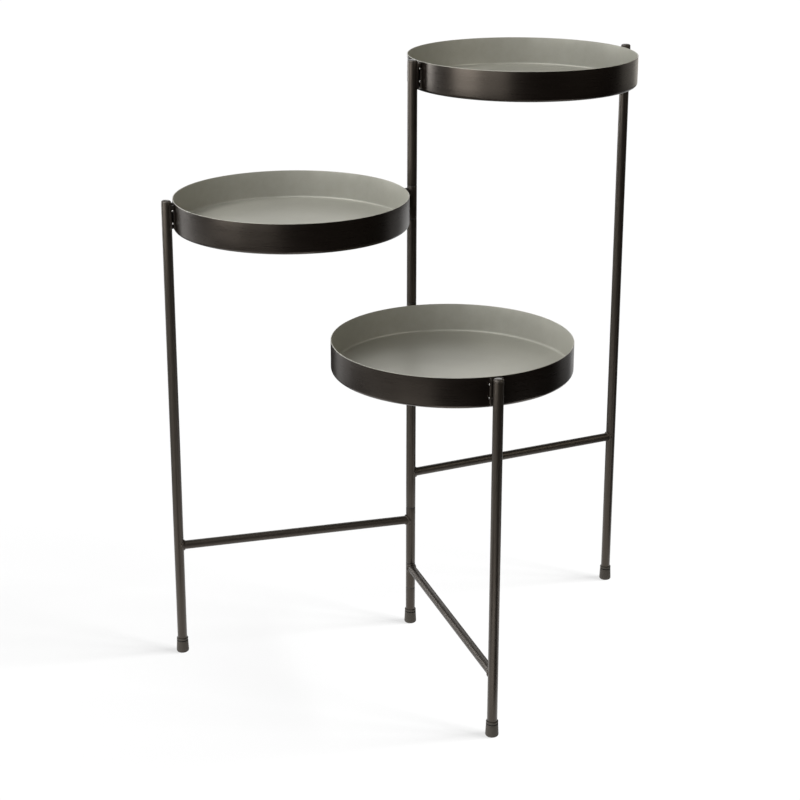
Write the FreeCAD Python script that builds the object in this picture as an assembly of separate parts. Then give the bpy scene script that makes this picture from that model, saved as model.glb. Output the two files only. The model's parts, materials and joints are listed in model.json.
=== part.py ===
import FreeCAD, Part
import math
import os
from FreeCAD import Vector

# Three-tier plant stand that folds round its centre post.
# Origin: on the floor, on the axis of the centre post. +Z up, +X along the
# tall frame. Millimetres.

# ---------------------------------------------------------------- dimensions
tube_od = 11.2            # post, sleeves and legs
tube_wall = 1.2
rod_d = 8.7               # core rod inside the post
rod_bore = 6.7
sleeve_bore = 8.8         # turning sleeves: 0.05 mm radial running clearance
bar_od = 10.0             # crossbars
bar_wall = 1.0

tray_r = 133.0            # outside radius of a dish
tray_h = 34.0
tray_t = 1.0
tray_corner = 3.6         # outside radius between wall and floor

pin_d = 2.4               # cross pins that the hangers drop over
pin_q = 5.9               # pin axis, from the tube axis towards the tray
pin_half = 8.4
pin_drop = (7.5, 21.8)    # pin axes below the dish rim
strip_q = (4.6, 7.0)      # strip on the tube that carries the pins
strip_y = 1.6             # half its width
strip_drop = (3.4, 29.4)  # its ends below the rim
hanger_t = 0.9
hanger_gap = 0.3          # pin to hanger web
hanger_top = 1.2          # below the rim
hanger_bottom = 29.8
ear_in = 6.1              # inside face of a hanger ear, from the frame plane
ear_tip = 2.2             # how near an ear reaches to the tube axis
slot_w = 3.0

web_q = pin_q + pin_d / 2 + hanger_gap          # hanger web, inside face
span = 2 * (tray_r + hanger_t + web_q)          # post axis to leg axis

foot_h = 18.0
foot_floor = 4.0
foot_top_r = 6.7
foot_low_r = 7.3
foot_edge = 1.9
cap_h = 3.0
cap_plug_r = 4.3
cap_plug_l = 8.0

# heights: rim of the dish, top of the leg, axis of the crossbar
frames = {
    "tall": dict(angle=0.0, rim=692.5, top=694.5, bar=197.4),
    "middle": dict(angle=170.0, rim=547.6, top=551.0, bar=136.5),
    "low": dict(angle=-98.0, rim=409.8, top=409.8, bar=73.6),
}

# joints in the post, from the floor up: each is a gap that holds one washer
seam = 0.8
washer_t = 0.6
seam_low_bottom = 46.4        # under the low frame's lower sleeve
seam_low_middle = 79.4        # between the two lower sleeves
seam_middle_top = 152.8       # over the middle frame's lower sleeve
low_up = (374.0, 411.6)       # low frame's upper sleeve, between its seams
middle_up = (511.6, 551.0)    # middle frame's upper sleeve

os.makedirs("parts", exist_ok=True)
Z = Vector(0, 0, 1)


def cyl(r, z0, z1, x=0.0):
    return Part.makeCylinder(r, z1 - z0, Vector(x, 0, z0), Z)


def tube(r, ri, z0, z1, x=0.0):
    return cyl(r, z0, z1, x).cut(cyl(ri, z0 - 1, z1 + 1, x))


def lathe(edges, x=0.0, z=0.0):
    face = Part.Face(Part.Wire(edges))
    s = face.revolve(Vector(0, 0, 0), Z, 360)
    s = Part.Solid(s.Shells[0]) if s.ShapeType != "Solid" else s
    s.translate(Vector(x, 0, z))
    return s


def L(a, b):
    return Part.LineSegment(Vector(a[0], 0, a[1]), Vector(b[0], 0, b[1])).toShape()


def A(a, m, b):
    return Part.Arc(Vector(a[0], 0, a[1]), Vector(m[0], 0, m[1]),
                    Vector(b[0], 0, b[1])).toShape()


def corner(cx, cz, r, a0, a1):
    """Arc about (cx, cz) from angle a0 to a1, in degrees."""
    p = [(cx + r * math.cos(math.radians(t)), cz + r * math.sin(math.radians(t)))
         for t in (a0, (a0 + a1) / 2, a1)]
    return A(*p), p[0], p[2]


def pins_at(x, sgn, rim):
    """A strip on the tube at x with two cross pins through it. The tray is
    towards sgn * X."""
    xs = sorted((x + sgn * strip_q[0], x + sgn * strip_q[1]))
    strip = Part.makeBox(xs[1] - xs[0], 2 * strip_y,
                       strip_drop[1] - strip_drop[0],
                       Vector(xs[0], -strip_y, rim - strip_drop[1]))
    strip = strip.makeFillet(0.5, [e for e in strip.Edges
                                   if e.BoundBox.ZLength < 0.01
                                   and e.BoundBox.YLength > 1])
    out = []
    for d in pin_drop:
        p = Part.makeCylinder(pin_d / 2, 2 * pin_half,
                              Vector(x + sgn * pin_q, -pin_half, rim - d),
                              Vector(0, 1, 0))
        p = p.makeFillet(0.4, [e for e in p.Edges
                               if isinstance(e.Curve, Part.Circle)])
        strip = strip.cut(p)
        out.append(p)
    return [strip] + out


def foot(x):
    """Rubber foot: a cup that flares a little towards the floor."""
    arc, p0, p1 = corner(foot_low_r - foot_edge, foot_edge, foot_edge, -90, 0)
    arc2, q0, q1 = corner(foot_top_r - 0.6, foot_h - 0.6, 0.6, 0, 90)
    ri = tube_od / 2
    return lathe([L((0, 0), p0), arc, L(p1, q0), arc2, L(q1, (ri, foot_h)),
                  L((ri, foot_h), (ri, foot_floor)),
                  L((ri, foot_floor), (0, foot_floor)),
                  L((0, foot_floor), (0, 0))], x)


def cap(x, top):
    """End cap: a plug in the tube under a low dome of the tube's diameter."""
    r = tube_od / 2
    z = -cap_h
    a = [(r, z + 0.7), (r - 0.75, z + 2.15), (r - 2.4, z + 2.75)]
    # the crown is a shallow part of a sphere centred on the axis
    rise, half = cap_h - 2.75, r - 2.4
    ball = (half ** 2 + rise ** 2) / (2 * rise)
    mid = half / 2
    b = [a[2], (mid, z + cap_h - ball + math.sqrt(ball ** 2 - mid ** 2)),
         (0, z + cap_h)]
    return lathe([L((0, z - cap_plug_l), (cap_plug_r, z - cap_plug_l)),
                  L((cap_plug_r, z - cap_plug_l), (cap_plug_r, z)),
                  L((cap_plug_r, z), (r, z)), L((r, z), a[0]),
                  A(*a), A(*b), L((0, z + cap_h), (0, z - cap_plug_l))],
                 x, top)


def crossbar(z):
    """Round crossbar with its ends shaped to the post and the leg."""
    X = Vector(1, 0, 0)
    bar = Part.makeCylinder(bar_od / 2, span, Vector(0, 0, z), X)
    bore = Part.makeCylinder(bar_od / 2 - bar_wall, span + 2, Vector(-1, 0, z), X)
    r = tube_od / 2
    return bar.cut(bore).cut(cyl(r, z - 20, z + 20)).cut(
        cyl(r, z - 20, z + 20, span))


def tray(rim):
    """Dish: flat floor, rounded corner, straight wall, plain rounded rim."""
    R, t, c = tray_r, tray_t, tray_corner
    z0 = rim - tray_h
    out, o0, o1 = corner(R - c, c, c, -90, 0)
    inn, i0, i1 = corner(R - c, c, c - t, 0, -90)
    top, t0, t1 = corner(R - t / 2, tray_h - t / 2, t / 2, 0, 180)
    return lathe([L((0, 0), o0), out, L(o1, t0), top, L(t1, i0), inn,
                  L(i1, (0, t)), L((0, t), (0, 0))], span / 2, z0)


def hanger(x, sgn, rim):
    """Pressed U-shaped hanger on the dish wall, open downwards over the pins.
    The tube it straddles is at x; the dish is towards sgn * X."""
    z0, z1 = rim - hanger_bottom, rim - hanger_top
    w = ear_in + hanger_t
    cx = span / 2
    ring = cyl(tray_r + hanger_t, z0, z1, cx).cut(
        cyl(tray_r, z0 - 1, z1 + 1, cx))

    def box(qa, qb, ya, yb, za, zb):
        xs = sorted((x + sgn * qa, x + sgn * qb))
        return Part.makeBox(xs[1] - xs[0], yb - ya, zb - za,
                            Vector(xs[0], ya, za))

    web = ring.common(box(0, 20, -w, w, z0, z1))
    s = web
    for ya, yb in ((-w, -ear_in), (ear_in, w)):
        ear = box(ear_tip, 20, ya, yb, z0, z1)
        # corners of the ear on the tube side
        s = s.fuse(ear.common(cyl(tray_r + 20, z0, z1, cx)).cut(
            cyl(tray_r, z0 - 1, z1 + 1, cx)))
    # one slot for both pins, rounded at its upper end
    zs = rim - pin_drop[0]
    slot = box(pin_q - slot_w / 2, pin_q + slot_w / 2, -w - 1, w + 1,
               z0 - 1, zs)
    slot = slot.fuse(Part.makeCylinder(slot_w / 2, 2 * w + 2,
                                       Vector(x + sgn * pin_q, -w - 1, zs),
                                       Vector(0, 1, 0)))
    # the slot stops at the web
    s = s.cut(slot.cut(cyl(tray_r + hanger_t, z0 - 2, z1, cx)))
    return s.removeSplitter()


def put(name, shapes, angle=0.0):
    shapes = shapes if isinstance(shapes, (list, tuple)) else [shapes]
    solids = [q for s in shapes for q in s.Solids]
    s = solids[0] if len(solids) == 1 else Part.makeCompound(solids)
    s = s.copy()
    s.rotate(Vector(0, 0, 0), Z, angle)
    for q in s.Solids:
        if not q.isValid() or q.Volume <= 0:
            raise ValueError("bad solid in " + name)
    s.exportStep("parts/" + name + ".step")
    print(name, len(s.Solids), "solid(s)", round(s.Volume), "mm3",
          [round(v, 1) for v in (s.BoundBox.XMin, s.BoundBox.YMin,
                                 s.BoundBox.ZMin, s.BoundBox.XMax,
                                 s.BoundBox.YMax, s.BoundBox.ZMax)])
    return s


R = tube_od / 2
ri = R - tube_wall
rr = rod_d / 2
rs = sleeve_bore / 2

# ---------------------------------------------------- tall frame, with the post
f = frames["tall"]
post_pins = pins_at(0, 1, f["rim"])
leg_pins = pins_at(span, -1, f["rim"])


def minus(s, cutters):
    for c in cutters:
        s = s.cut(c)
    return s


rod_top = f["top"] - cap_h - cap_plug_l - 0.5
put("post_core_rod", tube(rr, rod_bore / 2, foot_floor, rod_top))
put("post_bottom_tube", tube(R, rr, foot_floor, seam_low_bottom))
put("post_lower_tube", tube(R, rr, seam_middle_top + seam, low_up[0]))
put("post_middle_tube", tube(R, rr, low_up[1], middle_up[0]))
put("post_upper_tube", minus(tube(R, rr, middle_up[1], f["top"] - cap_h),
                             post_pins))
put("post_top_cap", cap(0, f["top"]))
put("post_foot", foot(0))
put("tall_leg", minus(tube(R, ri, foot_floor, f["top"] - cap_h, span),
                      leg_pins))
put("tall_leg_cap", cap(span, f["top"]))
put("tall_leg_foot", foot(span))
put("tall_crossbar", crossbar(f["bar"]))
put("tall_frame_hanger_pins", post_pins + leg_pins)

# one washer in the middle of each seam
m = (seam - washer_t) / 2
rings = [seam_low_bottom, seam_low_middle, seam_middle_top,
         low_up[0], low_up[1] - seam, middle_up[0], middle_up[1] - seam]
put("sleeve_washers", [tube(R - 0.1, rr, z + m, z + m + washer_t)
                       for z in rings])

# ------------------------------------------------- the two frames that fold
sleeves = {
    "low": ((seam_low_bottom + seam, seam_low_middle),
            (low_up[0] + seam, low_up[1] - seam)),
    "middle": ((seam_low_middle + seam, seam_middle_top),
               (middle_up[0] + seam, middle_up[1] - seam)),
}
for n in ("middle", "low"):
    f = frames[n]
    a = f["angle"]
    inner = pins_at(0, 1, f["rim"])
    outer = pins_at(span, -1, f["rim"])
    lower, upper = sleeves[n]
    put(n + "_lower_sleeve", tube(R, rs, *lower), a)
    put(n + "_upper_sleeve", minus(tube(R, rs, *upper), inner), a)
    put(n + "_leg", minus(tube(R, ri, foot_floor, f["top"] - cap_h, span),
                          outer), a)
    put(n + "_leg_cap", cap(span, f["top"]), a)
    put(n + "_leg_foot", foot(span), a)
    put(n + "_crossbar", crossbar(f["bar"]), a)
    put(n + "_frame_hanger_pins", inner + outer, a)

# ------------------------------------------------------------------- dishes
for n, t in (("tall", "top"), ("middle", "middle"), ("low", "low")):
    f = frames[n]
    put(t + "_tray", tray(f["rim"]), f["angle"])
    put(t + "_tray_hangers", [hanger(0, 1, f["rim"]),
                              hanger(span, -1, f["rim"])], f["angle"])

print("post axis to leg axis", round(span, 2))
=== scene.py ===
import json
import math

import bmesh
import bpy
from mathutils import Matrix, Vector, noise

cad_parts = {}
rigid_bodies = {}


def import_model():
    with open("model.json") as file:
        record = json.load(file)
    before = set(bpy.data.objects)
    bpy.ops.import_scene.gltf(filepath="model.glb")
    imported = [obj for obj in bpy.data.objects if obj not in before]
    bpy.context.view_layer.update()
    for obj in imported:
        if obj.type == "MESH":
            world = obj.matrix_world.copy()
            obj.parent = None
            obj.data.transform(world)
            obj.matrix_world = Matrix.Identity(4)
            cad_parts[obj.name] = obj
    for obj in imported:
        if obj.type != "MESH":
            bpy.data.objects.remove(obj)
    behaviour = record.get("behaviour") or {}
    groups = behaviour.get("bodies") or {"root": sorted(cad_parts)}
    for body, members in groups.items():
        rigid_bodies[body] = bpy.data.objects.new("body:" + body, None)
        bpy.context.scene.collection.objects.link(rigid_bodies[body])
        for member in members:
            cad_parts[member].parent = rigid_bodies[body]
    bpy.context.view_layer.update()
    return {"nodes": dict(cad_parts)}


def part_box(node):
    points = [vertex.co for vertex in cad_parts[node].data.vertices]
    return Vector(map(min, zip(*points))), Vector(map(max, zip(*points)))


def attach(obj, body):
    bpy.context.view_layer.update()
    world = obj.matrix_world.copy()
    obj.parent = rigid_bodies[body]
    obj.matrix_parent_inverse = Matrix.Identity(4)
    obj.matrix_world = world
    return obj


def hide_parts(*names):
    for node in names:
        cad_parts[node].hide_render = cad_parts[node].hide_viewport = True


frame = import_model()
nodes = frame["nodes"]

SPAN = 0.2826                      # post axis to leg axis
TUBE_R = 0.0056
BAR_R = 0.0050
DISH_H, DISH_T, DISH_C = 0.034, 0.001, 0.0036
FRAMES = {                         # direction of the frame, rim, top, crossbar
    "tall": (0.0, 0.6925, 0.6945, 0.1974),
    "middle": (170.0, 0.5476, 0.5510, 0.1365),
    "low": (-98.0, 0.4098, 0.4098, 0.0736),
}
DISHES = {"top": "tall", "middle": "middle", "low": "low"}


# ------------------------------------------------------------------ meshes
def new_object(name, verts, faces, mats, sharp=38.0, face_mat=None):
    me = bpy.data.meshes.new(name)
    me.from_pydata([tuple(v) for v in verts], [], faces)
    me.validate()
    bm = bmesh.new()
    bm.from_mesh(me)
    bmesh.ops.recalc_face_normals(bm, faces=bm.faces)
    bm.to_mesh(me)
    bm.free()
    for m in mats:
        me.materials.append(m)
    if face_mat:
        for p, i in zip(me.polygons, face_mat):
            p.material_index = i
    for p in me.polygons:
        p.use_smooth = True
    me.set_sharp_from_angle(angle=math.radians(sharp))
    o = bpy.data.objects.new(name, me)
    bpy.context.scene.collection.objects.link(o)
    return o


def revolve(profile, segs):
    """A closed solid of revolution from a closed list of (r, z)."""
    verts, faces, ring = [], [], []
    for r, z in profile:
        if r < 1e-9:
            ring.append([len(verts)] * segs)
            verts.append(Vector((0, 0, z)))
        else:
            ring.append(list(range(len(verts), len(verts) + segs)))
            for i in range(segs):
                a = 2 * math.pi * i / segs
                verts.append(Vector((r * math.cos(a), r * math.sin(a), z)))
    n = len(profile)
    for k in range(n):
        a, b = ring[k], ring[(k + 1) % n]
        for i in range(segs):
            j = (i + 1) % segs
            f = []
            for v in (a[i], a[j], b[j], b[i]):
                if v not in f:
                    f.append(v)
            if len(f) > 2:
                faces.append(tuple(f))
    return verts, faces


def arc(cx, cz, r, a0, a1, n):
    return [(cx + r * math.cos(math.radians(a0 + (a1 - a0) * i / n)),
             cz + r * math.sin(math.radians(a0 + (a1 - a0) * i / n)))
            for i in range(n + 1)]


def turn(deg):
    return Matrix.Rotation(math.radians(deg), 4, "Z")


# --------------------------------------------------------------- materials
def material(name):
    m = bpy.data.materials.new(name)
    m.use_nodes = True
    nt = m.node_tree
    return m, nt, nt.nodes["Principled BSDF"]


def node(nt, kind, **inputs):
    n = nt.nodes.new(kind)
    for k, v in inputs.items():
        n.inputs[k.replace("_", " ")].default_value = v
    return n


def ramp(nt, src, stops):
    r = nt.nodes.new("ShaderNodeValToRGB")
    e = r.color_ramp.elements
    while len(e) < len(stops):
        e.new(0.5)
    for el, (p, c) in zip(e, stops):
        el.position = p
        el.color = (c, c, c, 1) if isinstance(c, (int, float)) else (*c, 1)
    nt.links.new(src, r.inputs["Fac"])
    return r.outputs["Color"]


def coat(name, dark, light, rough, grain, bump, stretch=(1, 1, 1), spec=0.5,
         line=0.0, metallic=0.0, tint=(1.0, 1.0, 1.0)):
    """Satin coat: cloudy colour, fine orange peel, and grain drawn along one
    way where stretch isn't (1, 1, 1)."""
    m, nt, bsdf = material(name)
    tc = nt.nodes.new("ShaderNodeTexCoord")
    mp = nt.nodes.new("ShaderNodeMapping")
    mp.inputs["Scale"].default_value = stretch
    nt.links.new(tc.outputs["Object"], mp.inputs["Vector"])
    cloud = node(nt, "ShaderNodeTexNoise", Scale=14.0, Detail=3.0, Roughness=0.6)
    nt.links.new(tc.outputs["Object"], cloud.inputs["Vector"])
    streak = node(nt, "ShaderNodeTexNoise", Scale=grain, Detail=4.0,
                  Roughness=0.65)
    nt.links.new(mp.outputs["Vector"], streak.inputs["Vector"])
    mix = nt.nodes.new("ShaderNodeMath")
    mix.operation = "ADD"
    half = nt.nodes.new("ShaderNodeMath")
    half.operation = "MULTIPLY"
    half.inputs[1].default_value = 0.45
    nt.links.new(streak.outputs["Fac"], half.inputs[0])
    c2 = nt.nodes.new("ShaderNodeMath")
    c2.operation = "MULTIPLY"
    c2.inputs[1].default_value = 0.55
    nt.links.new(cloud.outputs["Fac"], c2.inputs[0])
    nt.links.new(half.outputs[0], mix.inputs[0])
    nt.links.new(c2.outputs[0], mix.inputs[1])
    nt.links.new(ramp(nt, mix.outputs[0], [(0.35, dark), (0.65, light)]),
                 bsdf.inputs["Base Color"])
    rr = nt.nodes.new("ShaderNodeMapRange")
    rr.inputs["From Min"].default_value = 0.3
    rr.inputs["From Max"].default_value = 0.7
    rr.inputs["To Min"].default_value = rough[0]
    rr.inputs["To Max"].default_value = rough[1]
    nt.links.new(streak.outputs["Fac"], rr.inputs["Value"])
    nt.links.new(rr.outputs["Result"], bsdf.inputs["Roughness"])
    peel = node(nt, "ShaderNodeTexNoise", Scale=1500.0, Detail=2.0)
    nt.links.new(tc.outputs["Object"], peel.inputs["Vector"])
    b1 = nt.nodes.new("ShaderNodeBump")
    b1.inputs["Strength"].default_value = bump
    b1.inputs["Distance"].default_value = 0.00005
    nt.links.new(peel.outputs["Fac"], b1.inputs["Height"])
    b2 = nt.nodes.new("ShaderNodeBump")
    b2.inputs["Strength"].default_value = line
    b2.inputs["Distance"].default_value = 0.00004
    nt.links.new(streak.outputs["Fac"], b2.inputs["Height"])
    nt.links.new(b1.outputs["Normal"], b2.inputs["Normal"])
    nt.links.new(b2.outputs["Normal"], bsdf.inputs["Normal"])
    bsdf.inputs["Metallic"].default_value = metallic
    bsdf.inputs["Specular IOR Level"].default_value = spec
    bsdf.inputs["Specular Tint"].default_value = (*tint, 1.0)
    return m


BROWN = (1.0, 0.86, 0.72)          # the black coat has a brown sheen
tube_coat = coat("tube_coat", (0.0088, 0.0072, 0.0058), (0.0150, 0.0124, 0.0100),
                 (0.33, 0.43), 90.0, 0.25, (6, 6, 0.35), line=0.12, tint=BROWN)
wall_coat = coat("wall_coat", (0.0036, 0.0025, 0.0020), (0.0052, 0.0038, 0.0031),
                 (0.265, 0.325), 60.0, 0.10, (0.6, 0.6, 22), line=0.03,
                 tint=BROWN)
inner_coat = coat("inner_coat", (0.245, 0.243, 0.212), (0.285, 0.281, 0.247),
                  (0.36, 0.46), 120.0, 0.15, (1, 1, 1), line=0.05,
                  metallic=0.12, tint=(1.0, 0.99, 0.88))
bar_coat = coat("bar_coat", (0.0052, 0.0043, 0.0035), (0.0080, 0.0066, 0.0054),
                (0.47, 0.50), 60.0, 0.02, (1, 1, 1), line=0.0, tint=BROWN)
weld_coat = coat("weld_coat", (0.0088, 0.0072, 0.0058), (0.0165, 0.0136, 0.0110),
                 (0.28, 0.44), 400.0, 0.5, line=0.3, tint=BROWN)
press_coat = coat("press_coat", (0.0060, 0.0049, 0.0040), (0.0105, 0.0087, 0.0070),
                  (0.28, 0.40), 160.0, 0.3, (1, 1, 1), line=0.1, tint=BROWN)
rubber = coat("rubber", (0.021, 0.0183, 0.0152), (0.033, 0.029, 0.0243),
              (0.58, 0.74), 300.0, 0.6, line=0.2, spec=0.4,
              tint=(1.0, 0.92, 0.82))
# darker copy of the foot rubber: painted shade, a contact shadow on the sole and
# its lower rounding and shade in the groove
rubber_painted_shade = coat("rubber_painted_shade", (0.006, 0.0052, 0.0045),
                   (0.011, 0.0098, 0.0082), (0.6, 0.8), 300.0, 0.5, line=0.2,
                   spec=0.15)
cap_plastic = coat("cap_plastic", (0.016, 0.0135, 0.011), (0.025, 0.021, 0.0175),
                   (0.30, 0.42), 300.0, 0.3, line=0.1, tint=(1.0, 0.9, 0.8))
steel = coat("steel", (0.42, 0.41, 0.39), (0.55, 0.54, 0.52), (0.22, 0.36),
             200.0, 0.1, (8, 8, 0.3), line=0.2, metallic=1.0)
nylon = coat("nylon", (0.008, 0.008, 0.008), (0.014, 0.0135, 0.013),
             (0.5, 0.6), 300.0, 0.3)


def dress(name, m):
    me = nodes[name].data
    for i in range(len(me.materials)):
        me.materials[i] = m


for n in nodes:
    if n.endswith("_foot"):
        dress(n, rubber)
    elif n.endswith("_cap"):
        dress(n, cap_plastic)
    elif n.endswith("_crossbar"):
        dress(n, bar_coat)
    elif n == "post_core_rod":
        dress(n, steel)
    elif n == "sleeve_washers":
        dress(n, nylon)
    else:
        dress(n, tube_coat)


# ------------------------------------------------------------------ dishes
def dish_profiles(R, H, T, C):
    mid_o, mid_i = 0.00045, 0.00050      # the two skins meet in the wall
    zr = H - T / 2
    outer = [(0.0, 0.0), (R * 0.35, 0.0), (R * 0.7, 0.0)]
    outer += arc(R - C, C, C, -90, 0, 10)
    outer += [(R, z) for z in (C + 0.010, C + 0.020)]
    outer += arc(R - T / 2, zr, T / 2, 0, 14, 2)
    outer += [(R - mid_o, zr), (R - mid_o, C)]
    outer += arc(R - C, C, C - mid_o, 0, -90, 10)[1:]
    outer += [(0.0, mid_o)]
    c = C - T
    inner = [(0.0, T), (R * 0.35, T), (R * 0.7, T)]
    inner += arc(R - C, C, c, -90, 0, 10)
    inner += [(R - T, z) for z in (C + 0.010, C + 0.020)]
    inner += arc(R - T / 2, zr, T / 2, 180, 16, 10)
    inner += [(R - mid_i, zr), (R - mid_i, C)]
    inner += arc(R - C, C, C - mid_i, 0, -90, 10)[1:]
    inner += [(0.0, mid_i)]
    return outer, inner


def place(o, x, y, z):
    o.location = (x, y, z)
    return o


for d, f in DISHES.items():
    ang, rim, top, bar = FRAMES[f]
    lo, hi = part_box(d + "_tray")
    cx, cy = SPAN / 2 * math.cos(math.radians(ang)), \
        SPAN / 2 * math.sin(math.radians(ang))
    R = 0.13297
    outer, inner = dish_profiles(R, DISH_H, DISH_T, DISH_C)
    for tag, prof, m, s in (("_dish_outside", outer, wall_coat, "black_coat"),
                            ("_dish_inside", inner, inner_coat, "dish_coat")):
        v, fc = revolve(prof, 192)
        o = place(new_object(d + tag, v, fc, [m]), cx, cy, rim - DISH_H)
        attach(o, d + "_dish")
        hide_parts(d + "_tray")


# ------------------------------------------------- tubes, caps and feet
def put(name, profile, segs, mats, body, replaced, ang, x, z=0.0,
        face_mat=None, sharp=38.0):
    v, fc = revolve([(r / 1000, h / 1000) for r, h in profile], segs)
    p = turn(ang) @ Vector((x, 0, z))
    o = place(new_object(name, v, fc, mats, sharp, face_mat), *p)
    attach(o, body)
    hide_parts(replaced)
    return o


def pipe(r, ri, z0, z1, edge=0.35):
    """Tube with rounded outer edges at its ends, in millimetres."""
    out = arc(r - edge, z0 + edge, edge, -90, 0, 4)
    out += [(r, z0 + (z1 - z0) * k / 6) for k in range(1, 6)]
    out += arc(r - edge, z1 - edge, edge, 0, 90, 4)
    return out + [(ri + 0.2, z1), (ri, z1 - 0.2), (ri, z0 + 0.2),
                  (ri + 0.2, z0)]


RT = TUBE_R * 1000
for name, z0, z1 in (("post_bottom_tube", 4.0, 46.4),
                     ("post_lower_tube", 153.6, 374.0),
                     ("post_middle_tube", 411.6, 511.6),
                     ("post_upper_tube", 551.0, 691.5)):
    put(name + "_coated", pipe(RT, 4.36, z0, z1), 96, [tube_coat],
        "tall_frame", name, 0, 0.0)
for name, z0, z1 in (("low_lower_sleeve", 47.2, 79.4),
                     ("middle_lower_sleeve", 80.2, 152.8),
                     ("low_upper_sleeve", 374.8, 410.8),
                     ("middle_upper_sleeve", 512.4, 550.2)):
    put(name + "_coated", pipe(RT, 4.4, z0, z1), 96, [tube_coat],
        name.split("_")[0] + "_frame", name, 0, 0.0)

CAP = [(0, -11.0), (4.3, -11.0), (4.3, -3.0), (5.42, -3.0), (5.42, -2.82),
       (5.55, -2.70), (5.6, -2.55)]
CAP += [(3.2 + 2.4 * math.cos(math.radians(t)),
         -2.3 + 2.05 * math.sin(math.radians(t))) for t in range(0, 91, 9)]
CAP += [(3.2 * k, -0.25 * k * k) for k in (0.8, 0.6, 0.4, 0.2, 0.0)]
FOOT = [(0, 0), (2.5, 0), (5.39, 0)] + arc(5.39, 1.9, 1.9, -90, 0, 9)[1:]
SOLE = 6                             # the profile's first steps are the sole
FOOT += [(7.29 - 0.6 * k / 6, 1.9 + 12.6 * k / 6) for k in range(1, 7)]
GROOVE = len(FOOT) - 1
FOOT += [(6.60, 14.62), (6.22, 14.8), (6.12, 15.1), (6.16, 15.4), (6.55, 15.62)]
FOOT += [(6.68, 15.75), (6.7, 15.95), (6.7, 17.4)]
FOOT += arc(6.1, 17.4, 0.6, 0, 90, 6)[1:] + [(5.75, 18.0), (5.6, 17.85),
                                             (5.6, 4.0), (0, 4.0)]
# faces of the sole, its lower rounding and the groove take the darker rubber:
# painted contact shadow under the foot and painted shade in the groove
foot_painted_shade_faces = [1 if k < SOLE or GROOVE <= k < GROOVE + 5 else 0
            for k in range(len(FOOT)) for i in range(72)
            if not (FOOT[k][0] < 1e-9 and FOOT[(k + 1) % len(FOOT)][0] < 1e-9)]
for f, (ang, rim, top, bar) in FRAMES.items():
    put(f + "_leg_cap_domed", CAP, 72, [cap_plastic], f + "_frame",
        f + "_leg_cap", ang, SPAN, top)
    put(f + "_leg_foot_moulded", FOOT, 72, [rubber, rubber_painted_shade], f + "_frame",
        f + "_leg_foot", ang, SPAN, 0.0, foot_painted_shade_faces)
for f, (ang, rim, top, bar) in FRAMES.items():
    put(f + "_leg_coated", pipe(RT, 4.4, 4.0, top * 1000 - 3.0), 96,
        [tube_coat], f + "_frame", f + "_leg", ang, SPAN)
put("post_top_cap_domed", CAP, 72, [cap_plastic], "tall_frame",
    "post_top_cap", 0, 0.0, FRAMES["tall"][2])
put("post_foot_moulded", FOOT, 72, [rubber, rubber_painted_shade], "tall_frame",
    "post_foot", 0, 0.0, 0.0, foot_painted_shade_faces)


# ------------------------------------------ hangers, their pins and strips
EAR_TIP, EAR_IN, BEND, HANG_T = 0.0022, 0.0061, 0.0006, 0.0009
HANG_LO, HANG_HI, PINS, PIN_Q = -0.0298, -0.0012, (-0.0075, -0.0218), 0.0059


def web_q(y):
    return SPAN / 2 - math.sqrt(0.1339 ** 2 - y * y)


Y_B = EAR_IN - BEND
Q_B = web_q(Y_B) - BEND
EAR_L, BEND_L = Q_B - EAR_TIP, BEND * math.pi / 2
SHEET_L = 2 * (EAR_L + BEND_L + Y_B)


def hanger_path(s):
    """Inside face of the U-shaped sheet, and the way its thickness goes."""
    if s > SHEET_L / 2:
        (q, y), (nq, ny) = hanger_path(SHEET_L - s)
        return (q, -y), (nq, -ny)
    if s <= EAR_L:
        return (EAR_TIP + s, -EAR_IN), (0.0, -1.0)
    if s <= EAR_L + BEND_L:
        a = (s - EAR_L) / BEND_L * math.pi / 2
        n = (math.sin(a), -math.cos(a))
        return (Q_B + BEND * n[0], -Y_B + BEND * n[1]), n
    y = -Y_B + (s - EAR_L - BEND_L)
    q = web_q(y)
    k = math.hypot(SPAN / 2 - q, y)
    return (q, y), ((SPAN / 2 - q) / k, -y / k)


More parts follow.
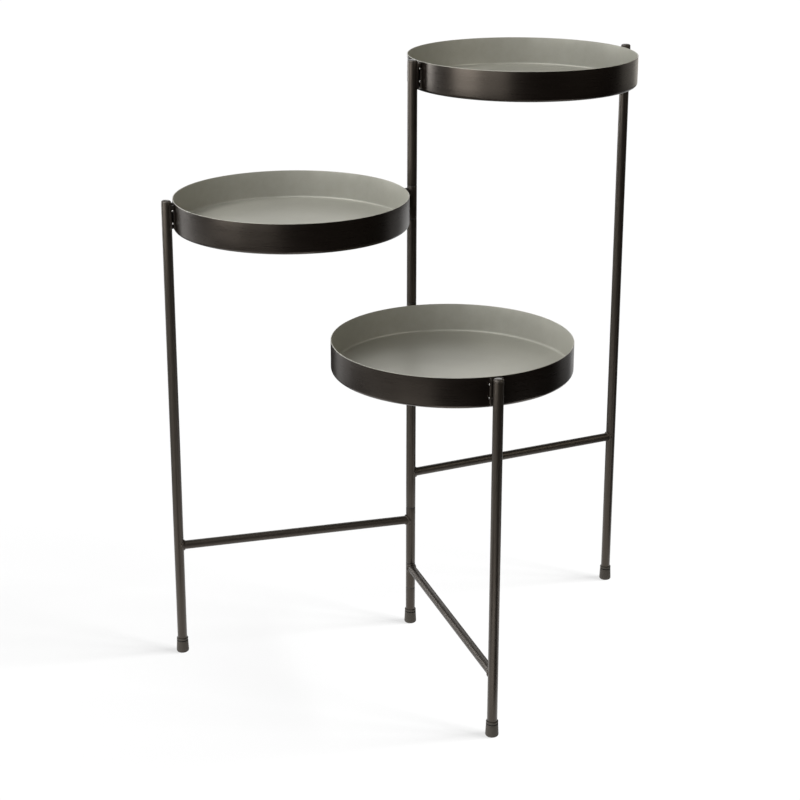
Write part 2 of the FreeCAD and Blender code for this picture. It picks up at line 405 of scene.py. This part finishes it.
def hanger_mesh():
    sa, sb = PIN_Q - 0.0015 - EAR_TIP, PIN_Q + 0.0015 - EAR_TIP
    sc, zc = (sa + sb) / 2, PINS[0]
    half = [(sb, HANG_LO)]
    half += [(sc + 0.0015 * math.cos(math.radians(t)),
              zc + 0.0015 * math.sin(math.radians(t)))
             for t in range(0, 181, 12)]
    half += [(sa, HANG_LO + 0.0002), (sa - 0.0002, HANG_LO)]
    half += [(x, z) for x, z in arc(0.0008, HANG_LO + 0.0008, 0.0008,
                                    -90, -180, 5)]
    half += [(x, z) for x, z in arc(0.0022, HANG_HI - 0.0022, 0.0022,
                                    180, 90, 8)]
    outline = half + [(SHEET_L - s, z) for s, z in reversed(half)]
    bm = bmesh.new()
    bm.faces.new([bm.verts.new((s, z, 0)) for s, z in outline])
    cuts = [EAR_L + BEND_L * k / 6 for k in range(7)]
    cuts += [EAR_L + BEND_L + Y_B * 2 * k / 8 for k in range(1, 8)]
    cuts += [SHEET_L - c for c in cuts[:7]]
    for c in cuts:
        bmesh.ops.bisect_plane(bm, geom=bm.verts[:] + bm.edges[:] + bm.faces[:],
                               dist=1e-7, plane_co=(c, 0, 0),
                               plane_no=(1, 0, 0))
    bm.verts.index_update()
    flat = [v.co.copy() for v in bm.verts]
    faces = [[v.index for v in f.verts] for f in bm.faces]
    rim = [[v.index for v in e.verts] for e in bm.edges
           if len(e.link_faces) == 1]
    bm.free()
    n = len(flat)
    verts = []
    for t in (0.0, HANG_T):
        for c in flat:
            (q, y), (nq, ny) = hanger_path(c.x)
            verts.append((q + nq * t, y + ny * t, c.y))
    bm = bmesh.new()
    bv = [bm.verts.new(v) for v in verts]
    for f in faces:
        bm.faces.new([bv[i] for i in f])
        bm.faces.new([bv[i + n] for i in reversed(f)])
    side = [bm.faces.new([bv[a], bv[b], bv[b + n], bv[a + n]])
            for a, b in rim]
    bmesh.ops.recalc_face_normals(bm, faces=bm.faces)
    sides = set(side)
    edges = [e for e in bm.edges
             if len(e.link_faces) == 2
             and (e.link_faces[0] in sides) != (e.link_faces[1] in sides)]
    bmesh.ops.bevel(bm, geom=edges, offset=0.00013, segments=2, profile=0.5,
                    affect="EDGES", clamp_overlap=True)
    bm.verts.index_update()
    out = [v.co.copy() for v in bm.verts], \
        [tuple(v.index for v in f.verts) for f in bm.faces]
    bm.free()
    return out


def strip_mesh():
    """Rounded strip on the tube, carrying the pins."""
    q0, q1, hy, z0, z1, c, e = (0.0046, 0.0070, 0.0016, -0.0294, -0.0034,
                                0.0005, 0.0005)
    rings = [(z0 + e - e * math.cos(math.radians(t)),
              e - e * math.sin(math.radians(t))) for t in range(0, 91, 18)]
    rings += [(z0 + (z1 - z0) * k / 8, 0.0) for k in range(1, 8)]
    rings += [(z1 - e + e * math.sin(math.radians(t)),
               e - e * math.cos(math.radians(t))) for t in range(0, 91, 18)]
    verts, faces, m = [], [], 24
    for z, inset in rings:
        k = c - min(inset, c * 0.9)
        for i, (cq, cy, a0) in enumerate(((q1, hy, 0), (q0, hy, 90),
                                          (q0, -hy, 180), (q1, -hy, 270))):
            sq, sy = (1 if cq == q1 else -1), (1 if cy > 0 else -1)
            for j in range(6):
                a = math.radians(a0 + j * 18)
                verts.append((cq - sq * (inset + k) + k * math.cos(a),
                              cy - sy * (inset + k) + k * math.sin(a), z))
    for r in range(len(rings) - 1):
        for i in range(m):
            a, b = r * m + i, r * m + (i + 1) % m
            faces.append((a, b, b + m, a + m))
    faces.append(tuple(range(m)))
    faces.append(tuple((len(rings) - 1) * m + i for i in range(m)))
    return [Vector(v) for v in verts], faces


PIN = [(0, -8.4), (0.55, -8.36), (0.85, -8.27), (1.05, -8.12), (1.17, -7.92),
       (1.2, -7.6), (1.2, 0.0), (1.2, 7.6), (1.17, 7.92), (1.05, 8.12),
       (0.85, 8.27), (0.55, 8.36), (0, 8.4)]


def pin_mesh():
    v, f = revolve([(r / 1000, h / 1000) for r, h in PIN], 36)
    return [Vector((p.x, p.z, -p.y)) for p in v], f


def both_ends(ang, rim, parts):
    """Copies at the post and, turned round, at the leg."""
    verts, faces = [], []
    M = turn(ang)
    for v, f, at in parts:
        for sgn, x in ((1, 0.0), (-1, SPAN)):
            k = len(verts)
            verts += [M @ Vector((x + sgn * (p.x + at[0]),
                                  sgn * (p.y + at[1]), p.z + at[2] + rim))
                      for p in v]
            faces += [tuple(i + k for i in g) for g in f]
    return verts, faces


hang, strip, one_pin = hanger_mesh(), strip_mesh(), pin_mesh()
for d, f in DISHES.items():
    ang, rim, top, bar = FRAMES[f]
    v, fc = both_ends(ang, rim, [(*hang, (0, 0, 0))])
    o = new_object(d + "_hangers_pressed", v, fc, [press_coat], 30)
    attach(o, d + "_dish")
    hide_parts(d + "_tray_hangers")
    v, fc = both_ends(ang, rim, [(*strip, (0, 0, 0))])
    o = new_object(f + "_pin_strips", v, fc, [tube_coat], 40)
    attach(o, f + "_frame")
    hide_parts(f + "_frame_hanger_pins")
    v, fc = both_ends(ang, rim, [(*one_pin, (PIN_Q, 0, z)) for z in PINS])
    o = new_object(f + "_cross_pins", v, fc, [press_coat, steel], 40)
    M = turn(-ang)
    for p in o.data.polygons:        # the domed ends are bare
        if abs((M @ p.center).y) > 0.00795:
            p.material_index = 1
    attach(o, f + "_frame")
    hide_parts(f + "_frame_hanger_pins")


# -------------------------------------------------------------- crossbars
def crossbar(segs=72, steps=10):
    """Round bar, hollow, its ends shaped to the round post and leg."""
    verts, faces, rings = [], [], []
    for r, order in ((BAR_R, range(steps + 1)),
                     (BAR_R - 0.001, range(steps, -1, -1))):
        for k in order:
            ring = []
            for i in range(segs):
                t = 2 * math.pi * i / segs
                y, h = r * math.cos(t), r * math.sin(t)
                x0 = math.sqrt(TUBE_R ** 2 - y * y)
                x = x0 + (SPAN - 2 * x0) * k / steps
                ring.append(len(verts))
                verts.append(Vector((x, y, h)))
            rings.append(ring)
    for a, b in zip(rings, rings[1:] + rings[:1]):
        for i in range(segs):
            j = (i + 1) % segs
            faces.append((a[i], a[j], b[j], b[i]))
    return verts, faces


for f, (ang, rim, top, bar) in FRAMES.items():
    v, fc = crossbar()
    M = turn(ang)
    o = new_object(f + "_crossbar_coated",
                   [M @ (p + Vector((0, 0, bar))) for p in v], fc, [bar_coat])
    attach(o, f + "_frame")
    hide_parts(f + "_crossbar")


# ------------------------------------------------------------- weld beads
def weld(name, body, ang, z, at_leg, seed):
    """A bead round the end of a crossbar, laid in small ripples."""
    n, k = 96, 10
    verts, faces = [], []
    for i in range(n):
        t = 2 * math.pi * i / n
        y, h = BAR_R * math.cos(t), BAR_R * math.sin(t)
        x = math.sqrt(TUBE_R ** 2 - y * y)
        out = Vector((0, math.cos(t), math.sin(t)))
        p = Vector((x, y, h)) + out * 0.00015 + Vector((0.0002, 0, 0))
        lump = noise.noise(Vector((2.2 * math.cos(t), 2.2 * math.sin(t), seed)))
        r = 0.00125 + 0.00030 * lump + 0.00010 * abs(math.sin(t * 11))
        for j in range(k):
            u = 2 * math.pi * j / k
            verts.append(p + out * (r * math.cos(u))
                         + Vector((1, 0, 0)) * (r * 1.25 * math.sin(u)))
    for i in range(n):
        for j in range(k):
            a, b = i * k + j, i * k + (j + 1) % k
            c, e = ((i + 1) % n) * k + (j + 1) % k, ((i + 1) % n) * k + j
            faces.append((a, b, c, e))
    if at_leg:
        verts = [Vector((SPAN - v.x, v.y, v.z)) for v in verts]
    M = turn(ang)
    verts = [M @ (v + Vector((0, 0, z))) for v in verts]
    o = new_object(name, verts, faces, [weld_coat], sharp=80)
    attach(o, body)
    return o


for i, (f, (ang, rim, top, bar)) in enumerate(FRAMES.items()):
    weld(f + "_weld_post", f + "_frame", ang, bar, False, 3.1 + i)
    weld(f + "_weld_leg", f + "_frame", ang, bar, True, 7.7 + i)


# ------------------------------------------------------------------ camera
cam_data = bpy.data.cameras.new("camera")
cam = bpy.data.objects.new("camera", cam_data)
bpy.context.scene.collection.objects.link(cam)
bpy.context.scene.camera = cam
cam.location = (-0.8708, -1.7534, 0.9935)
cam.rotation_euler = (math.radians(90 - 16.891), 0.0, math.radians(-25.618))
cam_data.sensor_width = 36.0
cam_data.lens = 78.75
cam_data.shift_x = 0.0146
cam_data.shift_y = -0.11
cam_data.clip_start = 0.05
cam_data.clip_end = 60.0


# ------------------------------------------------------------------- stage
def plane(name, w, h, at=(0, 0, 0)):
    me = bpy.data.meshes.new(name)
    me.from_pydata([(-w / 2, -h / 2, 0), (w / 2, -h / 2, 0), (w / 2, h / 2, 0),
                    (-w / 2, h / 2, 0)], [], [(0, 1, 2, 3)])
    o = bpy.data.objects.new(name, me)
    o.location = at
    bpy.context.scene.collection.objects.link(o)
    return o


floor = plane("floor", 40, 40, (0, 0, -0.0002))
fm = bpy.data.materials.new("floor_white")
fm.use_nodes = True
nt = fm.node_tree
nt.nodes.clear()
sheen = node(nt, "ShaderNodeEmission", Strength=0.765)
matt = node(nt, "ShaderNodeBsdfDiffuse", Color=(0.05, 0.05, 0.05, 1))
both = nt.nodes.new("ShaderNodeAddShader")
out = nt.nodes.new("ShaderNodeOutputMaterial")
nt.links.new(sheen.outputs[0], both.inputs[0])
nt.links.new(matt.outputs[0], both.inputs[1])
nt.links.new(both.outputs[0], out.inputs["Surface"])
floor.data.materials.append(fm)
floor.visible_glossy = False
floor.visible_diffuse = False
floor.visible_shadow = False

world = bpy.data.worlds.new("studio")
bpy.context.scene.world = world
world.use_nodes = True
bg = world.node_tree.nodes["Background"]
bg.inputs["Color"].default_value = (1, 1, 1, 1)
bg.inputs["Strength"].default_value = 1.05
world.cycles_visibility.glossy = False
world.cycles_visibility.diffuse = False

# soft panels round the object. Bearings are from the right of the photograph,
# anticlockwise: 90 is behind the object and 270 is the camera's side.
VIEW = -23.7
AIM = Vector((0, 0, 0.4))
PANELS = [   # bearing, elevation, width, height, brightness
    (30, 8, 1.0, 0.8, 0.52), (60, 8, 1.0, 0.8, 1.07), (90, 8, 1.0, 0.8, 2.69),
    (90, 32, 1.0, 0.8, 1.62), (150, 8, 1.0, 0.8, 9.16), (180, 58, 1.1, 0.8, 8.55),
    (210, 8, 1.0, 0.8, 7.56), (240, 8, 1.0, 0.8, 2.81), (240, 32, 1.0, 0.8, 3.56),
    (240, 58, 1.1, 0.8, 5.91), (330, 32, 1.0, 0.8, 4.94),
]
for az, el, w, h, power in PANELS:
    ra, re = math.radians(az + VIEW), math.radians(el)
    d = Vector((math.cos(ra) * math.cos(re), math.sin(ra) * math.cos(re),
                math.sin(re)))
    li = bpy.data.lights.new("panel", "AREA")
    li.shape = "RECTANGLE"
    li.size, li.size_y = w, h
    li.energy = math.pi * w * h * power
    if az in (30, 60, 330):          # warmer on the far right
        li.color = (1.0, 0.95, 0.86)
    o = bpy.data.objects.new("panel_%03d_%02d" % (az, el), li)
    o.location = AIM + d * 2.0
    o.rotation_euler = (-d).to_track_quat("-Z", "Y").to_euler()
    o.visible_camera = False
    bpy.context.scene.collection.objects.link(o)

# what the floor gives back to the object, part by part: bright under it,
# darker further off
GLOW = [     # inner radius, outer radius, bearing, brightness
    (0.0, 0.35, None, 1.48), (0.35, 0.75, 30, 1.24), (0.75, 1.3, 30, 0.17),
    (1.3, 2.4, 30, 0.46), (0.75, 1.3, 60, 0.88), (1.3, 2.4, 60, 0.95),
    (0.75, 1.3, 150, 0.70), (1.3, 2.4, 150, 1.34), (0.35, 0.75, 180, 1.50),
    (1.3, 2.4, 180, 1.00), (0.35, 0.75, 210, 1.72), (0.75, 1.3, 210, 0.67),
    (0.75, 1.3, 240, 1.47), (0.35, 0.75, 270, 2.28), (0.35, 0.75, 330, 1.93),
]
for i, (r0, r1, az, power) in enumerate(GLOW):
    a0, a1 = (az - 15, az + 15) if az is not None else (0, 360)
    k = 6 if az is not None else 48
    pts = [(r1, a0 + (a1 - a0) * j / k) for j in range(k + 1)]
    if r0 > 0:
        pts += [(r0, a) for r, a in reversed(pts)]
    else:
        pts = pts[:-1]
    vs = [(r * math.cos(math.radians(a + VIEW)),
           r * math.sin(math.radians(a + VIEW)), 0) for r, a in pts]
    me = bpy.data.meshes.new("glow_%02d" % i)
    me.from_pydata(vs, [], [tuple(range(len(vs)))])
    gm = bpy.data.materials.new("glow_%02d" % i)
    gm.use_nodes = True
    gm.node_tree.nodes.clear()
    em = node(gm.node_tree, "ShaderNodeEmission", Strength=power)
    go = gm.node_tree.nodes.new("ShaderNodeOutputMaterial")
    gm.node_tree.links.new(em.outputs[0], go.inputs["Surface"])
    me.materials.append(gm)
    o = bpy.data.objects.new("glow_%02d" % i, me)
    o.location = (0, 0, -0.0015)
    o.visible_camera = False
    o.visible_shadow = False
    bpy.context.scene.collection.objects.link(o)

# three broad lights from the right draw the faint shadows on the floor, and
# the panels leave the floor alone, so that it stays an even white
only_floor = bpy.data.collections.new("floor_only")
only_floor.objects.link(floor)
for name, bearing, up, wide, power in (("shadow_a", 5, 16, 14, 20.5),
                                       ("shadow_b", -9, 16, 14, 19.0),
                                       ("shadow_c", -25, 16, 16, 17.6)):
    sun = bpy.data.lights.new(name, "SUN")
    sun.energy = power
    sun.angle = math.radians(wide)
    so = bpy.data.objects.new(name, sun)
    rb, ru = math.radians(bearing), math.radians(up)
    d = turn(VIEW) @ Vector((math.cos(rb) * math.cos(ru),
                             math.sin(rb) * math.cos(ru), math.sin(ru)))
    so.rotation_euler = (-d).to_track_quat("-Z", "Y").to_euler()
    so.light_linking.receiver_collection = only_floor
    bpy.context.scene.collection.objects.link(so)

not_floor = bpy.data.collections.new("all_but_floor")
not_floor.objects.link(floor)
not_floor.collection_objects[0].light_linking.link_state = "EXCLUDE"
for o in bpy.data.objects:
    if o.type == "LIGHT" and o.name.startswith("panel"):
        o.light_linking.receiver_collection = not_floor

bpy.context.scene.view_settings.view_transform = "Standard"
bpy.context.scene.view_settings.look = "None"
